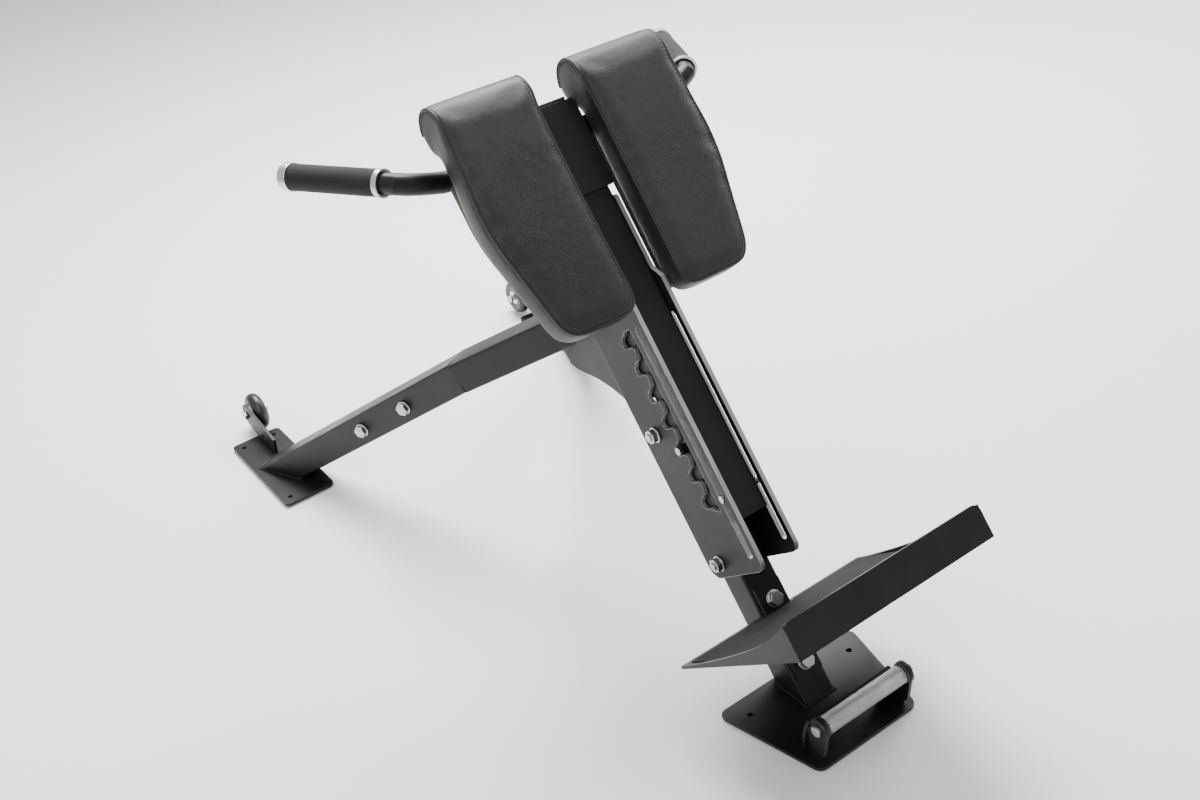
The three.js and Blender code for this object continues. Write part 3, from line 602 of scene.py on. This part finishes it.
@dataclass
class Pad:
    """One upholstered pad: swelled cover, piping and stitches. Lengths are in the spine frame."""

    side: Side
    low: float = 0.235
    high: float = 0.576
    inner: float = 0.0326
    outer: float = 0.183
    taper: float = 0.395
    narrow: float = 0.147
    tip: float = 0.174
    top: float = 0.032
    under: float = -0.018
    roll: float = 0.035
    voxel: float = 0.005
    shrink: float = 0.002
    cap: float = 0.0028
    calm: int = 10
    frames: int = 20
    pressure: float = 4.0
    stretch: float = 80.0
    bend: float = 20.0
    piping: float = 0.0024
    stitch_gap: float = 0.0055
    stitch_inset: float = 0.0055
    stitch_half: float = 0.0017
    stitch_radii: tuple[float, ...] = (0.0002, 0.0006, 0.0006, 0.0002)
    cover: bpy.types.Object | None = field(default=None, init=False)

    def build(self) -> bpy.types.Object:
        """Swells the cover out of the CAD cushion.

        Returns:
            The cover.
        """
        source = frame["nodes"][f"pad_{self.side.word}"]
        obj = bpy.data.objects.new(f"cover_{self.side.word}", source.data.copy())
        bpy.context.scene.collection.objects.link(obj)
        bpy.context.view_layer.objects.active = obj
        for kind, settings in (
            ("WELD", {"merge_threshold": MERGE}),
            ("REMESH", {"mode": "VOXEL", "voxel_size": self.voxel}),
            ("DISPLACE", {"strength": -self.shrink, "mid_level": 0.0}),
            ("SMOOTH", {"factor": 0.5, "iterations": 4}),
        ):
            made = obj.modifiers.new(kind.lower(), kind)
            for key, value in settings.items():
                setattr(made, key, value)
            bpy.ops.object.modifier_apply(modifier=made.name)
        self._swell(obj)
        self._hold(obj)
        finer = obj.modifiers.new("finer", "SUBSURF")
        finer.levels = finer.render_levels = 1
        bpy.ops.object.modifier_apply(modifier=finer.name)
        for face in obj.data.polygons:
            face.use_smooth = True
        self.cover = obj
        return obj

    def _swell(self, obj: bpy.types.Object) -> None:
        """Runs a short cloth simulation with inner pressure and applies it.

        Args:
            obj: the cover.
        """
        rest = [vert.co.copy() for vert in obj.data.vertices]
        cloth = obj.modifiers.new("cloth", "CLOTH")
        cloth.settings.use_pressure = True
        cloth.settings.uniform_pressure_force = self.pressure
        cloth.settings.effector_weights.gravity = 0.0
        cloth.settings.quality = 5
        cloth.settings.tension_stiffness = self.stretch
        cloth.settings.compression_stiffness = self.stretch
        cloth.settings.bending_stiffness = self.bend
        scene = bpy.context.scene
        for number in range(1, self.frames + 1):
            scene.frame_set(number)
        bpy.ops.object.modifier_apply(modifier=cloth.name)
        scene.frame_set(1)
        for vert, start in zip(obj.data.vertices, rest):
            moved = vert.co - start
            if moved.length > self.cap:
                vert.co = start + moved.normalized() * self.cap
        calm = obj.modifiers.new("calm", "SMOOTH")
        calm.factor = 0.5
        calm.iterations = self.calm
        bpy.ops.object.modifier_apply(modifier=calm.name)

    def _hold(self, obj: bpy.types.Object) -> None:
        """Keeps the cover off its board and off the middle of the bench.

        Args:
            obj: the cover.
        """
        back = SPINE.inverted()
        sign = self.side.value
        for vert in obj.data.vertices:
            u, y, w = back @ vert.co
            reach = min(max(y * sign, self.inner - 0.0006), self.outer + 0.003)
            floor = self.under + 0.0002 if u < self.high - 2 * self.roll - 0.002 else self.under - 0.03
            w = min(max(w, floor), self.top + 0.003)
            vert.co = SPINE @ Vector((min(max(u, self.low - 0.003), self.high + 0.002), reach * sign, w))

    def _seam_path(self) -> list[Vector]:
        """The ridge between the top panel and the side panels.

        Returns:
            Points on the cover, from one end of the roll round to the other.
        """
        centre = self.high - self.roll
        rays: list[tuple[Vector, Vector]] = []
        arc = [math.radians(a) for a in range(-80, 91, 10)]

        def nose(y: float, outward: float, angles: Iterable[float]) -> None:
            """Adds rays round one end of the roll.

            Args:
                y: how far out the roll's end is.
                outward: which way its end faces.
                angles: the turns round the roll, in order.
            """
            for a in angles:
                w = self.top - self.roll + self.roll * math.sin(a)
                point = Vector((centre + self.roll * math.cos(a), y, w))
                rays.append((point, Vector((math.cos(a), outward, math.sin(a)))))

        nose(self.inner, -1.0, arc)
        outline = [(centre, self.inner), (self.low, self.inner), (self.low, self.narrow),
                   (self.taper, self.outer), (centre, self.tip)]
        radii = [0.0, 0.026, 0.03, 0.04, 0.0]
        flat: list[Vector] = []
        for index, (u, y) in enumerate(outline):
            here = Vector((u, y, 0))
            if radii[index] == 0:
                flat.append(here)
                continue
            a = here + (Vector((*outline[index - 1], 0)) - here).normalized() * radii[index]
            b = here + (Vector((*outline[index + 1], 0)) - here).normalized() * radii[index]
            for t in (i / 8 for i in range(9)):
                flat.append(a * (1 - t) ** 2 + here * 2 * t * (1 - t) + b * t * t)
        flat = resample(flat, 0.006)
        for index, point in enumerate(flat):
            along = flat[min(index + 1, len(flat) - 1)] - flat[max(index - 1, 0)]
            out = Vector((along.y, -along.x, 0)).normalized() * -1.0
            rays.append((Vector((point.x, point.y, self.top)), out + Vector((0, 0, 1))))
        nose(self.tip, 1.0, reversed(arc))
        tree = BVHTree.FromObject(self.cover, bpy.context.evaluated_depsgraph_get())
        flip = Matrix.Diagonal((1, self.side.value, 1, 1))
        room = SPINE @ flip
        turn = room.to_3x3()
        path = []
        for point, out in rays:
            way = (turn @ out).normalized()
            hit, _, _, _ = tree.ray_cast(room @ point + way * 0.04, -way, 0.08)
            if hit is not None:
                path.append(hit)
        for _ in range(2):
            inside = [(a + b * 2 + c) / 4 for a, b, c in zip(path, path[1:], path[2:])]
            path = [path[0]] + inside + [path[-1]]
        return path

    def trim(self) -> list[bpy.types.Object]:
        """Sews the piping and a row of stitches onto the cover.

        Returns:
            The piping and the stitches.
        """
        path = resample(self._seam_path(), 0.004)
        mesh = bmesh.new()
        sweep(mesh, path, lambda _: self.piping)
        piping = mesh_object(f"piping_{self.side.word}", mesh)
        tree = BVHTree.FromObject(self.cover, bpy.context.evaluated_depsgraph_get())
        mesh = bmesh.new()
        verts = self.cover.data.vertices
        middle = sum((vert.co for vert in verts), Vector()) / len(verts)
        row = resample(path, self.stitch_gap)
        up = SPINE.to_3x3() @ Vector((0, 0, 1))
        for a, b in zip(row, row[1:]):
            along = (b - a).normalized()
            inward = (middle - a) - up * (middle - a).dot(up)
            inward = (inward - along * inward.dot(along)).normalized()
            spot, normal, _, _ = tree.find_nearest((a + b) / 2 + inward * self.stitch_inset + up * 0.002)
            if spot is None:
                continue
            half = along * self.stitch_half
            centre = spot + normal * 0.0001
            sweep(mesh, [centre - half, centre - half * 0.5, centre + half * 0.5, centre + half],
                  lambda i: self.stitch_radii[i], sides=5)
        stitches = mesh_object(f"stitches_{self.side.word}", mesh)
        return [piping, stitches]

    def dress(self, palette: Palette) -> None:
        """Finishes and fixes the pad's pieces to the carriage.

        Args:
            palette: the finishes.
        """
        cover = self.cover
        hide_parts(f"pad_{self.side.word}")
        for piece in [cover, *self.trim()]:
            palette.dress(piece, "pad_leather")
            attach(piece, "carriage")
            LOG.info("built %s with %d faces", piece.name, len(piece.data.polygons))


@dataclass
class Welds:
    """Rippled weld beads where tubes meet plates."""

    bead: float = 0.0022
    ripple: float = 0.0035
    swell: float = 0.14
    height: float = 0.0082
    step: float = 0.0012
    arm_inset: float = 0.012
    arm_end: float = 0.604
    tube_half: float = 0.025
    tube_run: float = 0.0625
    neck_side: float = 0.0254
    neck_depth: float = -0.1338
    neck_run: tuple[float, ...] = (0.14, 0.2, 0.26, 0.325)
    foot_height: float = 0.0085

    def build(self) -> list[bpy.types.Object]:
        """Runs a bead round each joint.

        Returns:
            The bead objects.
        """
        floor = self.height
        loops: dict[str, tuple[list[Point], bool]] = {}
        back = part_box("spine_tube")[0][0]
        half, front = self.tube_half, back + self.tube_run
        corners = [(back, -half, floor), (back, half, floor), (front, half, floor), (front, -half, floor)]
        loops["weld_spine_base"] = (corners, True)
        for side in Side:
            sign = side.value
            low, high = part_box(f"wheel_arm_{side.word}")
            face = low[1] if sign > 0 else high[1]
            arm = [(low[0] + self.arm_inset, face, floor), (self.arm_end, face, floor)]
            loops[f"weld_wheel_arm_{side.word}"] = (arm, False)
            neck = [SPINE @ Vector((u, sign * self.neck_side, self.neck_depth)) for u in self.neck_run]
            loops[f"weld_neck_{side.word}"] = ([tuple(point) for point in neck], False)
            verts = frame["nodes"][f"leg_{side.word}"].data.vertices
            foot = [vert.co for vert in verts if vert.co.z < self.foot_height]
            loops[f"weld_foot_{side.word}"] = (self._hull(foot, floor), True)
        made = []
        for name, (points, closed) in loops.items():
            path = resample([Vector(p) for p in points], self.step, closed)
            if closed:
                path = path[:-1]
            mesh = bmesh.new()
            wave = 2 * math.pi * self.step / self.ripple
            sweep(mesh, path, lambda i: self.bead * (1 + self.swell * math.sin(i * wave)), closed, 8)
            made.append(mesh_object(name, mesh))
        return made

    @staticmethod
    def _hull(points: Sequence[Vector], height: float) -> list[Point]:
        """The outline of a tube's foot on the floor plate.

        Args:
            points: the foot's points.
            height: the outline's height.

        Returns:
            The outline in order.
        """
        flat = sorted({(round(p.x, 4), round(p.y, 4)) for p in points})

        def half(run: Iterable[tuple[float, float]]) -> list[tuple[float, float]]:
            """Walks one side of the outline.

            Args:
                run: the points in order along X.

            Returns:
                That side's corners, without its last.
            """
            out: list[tuple[float, float]] = []
            for p in run:
                while len(out) > 1 and ((out[-1][0] - out[-2][0]) * (p[1] - out[-2][1])
                                        - (out[-1][1] - out[-2][1]) * (p[0] - out[-2][0])) <= 0:
                    out.pop()
                out.append(p)
            return out[:-1]

        return [(x, y, height) for x, y in half(flat) + half(reversed(flat))]

    def dress(self, palette: Palette) -> None:
        """Finishes the beads like the frame.

        Args:
            palette: the finishes.
        """
        for piece in self.build():
            palette.dress(piece, "frame_black")
            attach(piece, "frame")
            LOG.info("laid %s", piece.name)


@dataclass
class Studio:
    """The pale floor, soft lights and the camera."""

    place: Point = (-1.4979, 0.86845, 1.35935)
    back: Point = (-0.7122, 0.4368, 0.5495)
    roll: float = math.radians(-7.8)
    lens: float = 41.517

    def build(self) -> None:
        """Sets up the whole studio."""
        self._camera()
        self._floor()
        self._lights()

    def _camera(self) -> None:
        """Places the camera."""
        back = Vector(self.back).normalized()
        level = Vector((0, 0, 1)).cross(back).normalized()
        rise = back.cross(level)
        right = level * math.cos(self.roll) + rise * math.sin(self.roll)
        up = rise * math.cos(self.roll) - level * math.sin(self.roll)
        data = bpy.data.cameras.new("camera")
        data.lens = self.lens
        data.sensor_width = 36.0
        data.clip_end = 100.0
        camera = bpy.data.objects.new("camera", data)
        camera.matrix_world = Matrix((
            (right.x, up.x, back.x, self.place[0]), (right.y, up.y, back.y, self.place[1]),
            (right.z, up.z, back.z, self.place[2]), (0, 0, 0, 1)))
        bpy.context.scene.collection.objects.link(camera)
        bpy.context.scene.camera = camera

    def _floor(self) -> None:
        """Lays the floor."""
        mesh = bmesh.new()
        bmesh.ops.create_grid(mesh, x_segments=1, y_segments=1, size=20.0)
        floor = mesh_object("floor", mesh, smooth=False)
        made = bpy.data.materials.new("floor_pale")
        made.use_nodes = True
        shader = made.node_tree.nodes["Principled BSDF"]
        shader.inputs["Base Color"].default_value = (0.86, 0.86, 0.86, 1.0)
        shader.inputs["Roughness"].default_value = 0.9
        floor.data.materials.append(made)

    def _lights(self) -> None:
        """Hangs the lights."""
        world = bpy.data.worlds.new("studio")
        world.use_nodes = True
        world.node_tree.nodes["Background"].inputs[0].default_value = (1, 1, 1, 1)
        world.node_tree.nodes["Background"].inputs[1].default_value = 0.75
        bpy.context.scene.world = world
        for name, place, size, power in (
            ("key", (-1.6, 2.2, 2.6), 2.0, 38.0),
            ("top", (1.3, -0.6, 2.6), 1.8, 230.0),
            ("rim", (0.6, -2.6, 1.9), 1.6, 60.0),
        ):
            data = bpy.data.lights.new(name, "AREA")
            data.size = size
            data.energy = power
            lamp = bpy.data.objects.new(name, data)
            lamp.location = place
            aim = Vector((-0.1, 0.0, 0.4)) - Vector(place)
            lamp.rotation_euler = aim.to_track_quat("-Z", "Y").to_euler()
            bpy.context.scene.collection.objects.link(lamp)


def main() -> None:
    """Builds and dresses every piece in order."""
    logging.basicConfig(level=logging.INFO, format="%(message)s")
    palette = Palette()
    Studio().build()
    MetalWork().dress(palette)
    for side in Side:
        pad = Pad(side)
        pad.build()
        pad.dress(palette)
    Welds().dress(palette)


if __name__ == "__main__":
    main()
